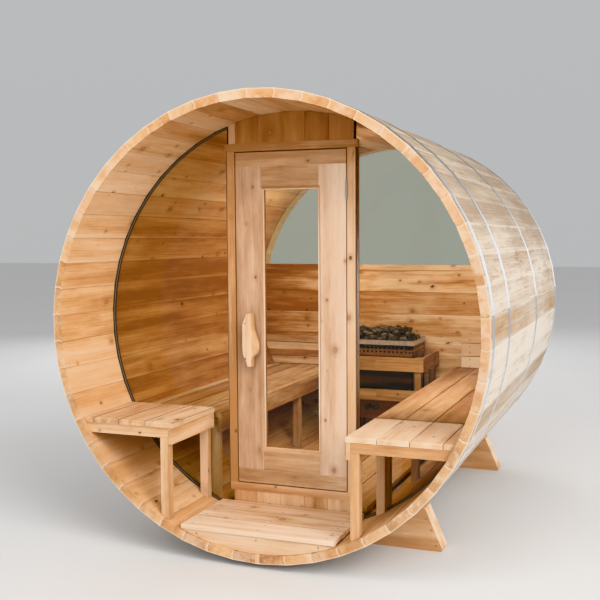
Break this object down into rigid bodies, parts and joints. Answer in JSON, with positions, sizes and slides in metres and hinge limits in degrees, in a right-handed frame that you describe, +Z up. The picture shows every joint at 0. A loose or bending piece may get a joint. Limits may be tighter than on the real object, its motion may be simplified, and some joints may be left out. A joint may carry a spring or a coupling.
{
  "type": "barrel sauna",
  "caption": "Wooden barrel sauna with a roofed porch, porch benches, glazed front wall, glass door, inner benches, guarded electric heater and plank cradles.",
  "frame": {"origin": "on the ground, midway along the barrel and under its axis", "axes": "+Z up, +Y from the porch to the rear wall, +X to the right seen from the porch"},
  "size_m": [1.9596, 2.22, 1.9804],
  "materials": {
    "cedar_outside": "weathered",
    "cedar_front": "bare",
    "cedar_inside": "bare",
    "cradle_timber": "bare",
    "live_edge_wood": "oiled",
    "galvanised_steel": "galvanised",
    "stainless_steel": "satin",
    "clear_glass": "clear",
    "seal_rubber": "matt",
    "heater_sheet": "satin",
    "heater_stone": "rough stone",
    "dark_plastic": "satin"
  },
  "bodies": {
    "barrel": {"staves_01": "cedar_outside", "staves_02": "cedar_outside", "staves_03": "cedar_outside", "staves_04": "cedar_outside", "staves_05": "cedar_outside", "staves_06": "cedar_outside", "staves_07": "cedar_outside", "staves_08": "cedar_outside", "staves_09": "cedar_outside", "staves_10": "cedar_outside", "hoops": "galvanised_steel", "front_glass": "clear_glass", "glass_gaskets": "seal_rubber", "door_frame": "cedar_front", "door_stops": "cedar_front", "transom_boards": "cedar_front", "lower_boards": "cedar_front", "frame_hinge_leaves": "stainless_steel", "rear_boards": "cedar_inside", "rear_cap": "cedar_inside", "rear_glass": "clear_glass", "deck_boards": "cedar_front", "deck_fascia": "cedar_front", "deck_joists": "cedar_front", "porch_bench_right": "cedar_front", "porch_bench_frame_right": "cedar_front", "porch_bench_left": "cedar_front", "porch_bench_frame_left": "cedar_front", "inner_bench_right": "cedar_inside", "inner_bench_frame_right": "cedar_inside", "inner_bench_left": "cedar_inside", "inner_bench_frame_left": "cedar_inside", "floor_boards": "cedar_inside", "floor_joists": "cedar_inside", "backrest": "cedar_inside", "heater_body": "heater_sheet", "heater_stones": "heater_stone", "heater_knobs": "dark_plastic", "heater_guard": "cedar_inside", "cradle_front": "cradle_timber", "cradle_rear": "cradle_timber"},
    "door": {"door_stiles": "cedar_front", "door_rails": "cedar_front", "door_glass": "clear_glass", "door_handle": "live_edge_wood", "door_hinge_leaves": "stainless_steel"}
  },
  "joints": [
    {"name": "door_hinge", "type": "hinge", "parent": "barrel", "child": "door", "pos_m": [0.2695, -0.7142, 1], "axis": [0, 0, 1], "range_deg": [0, 100]}
  ]
}
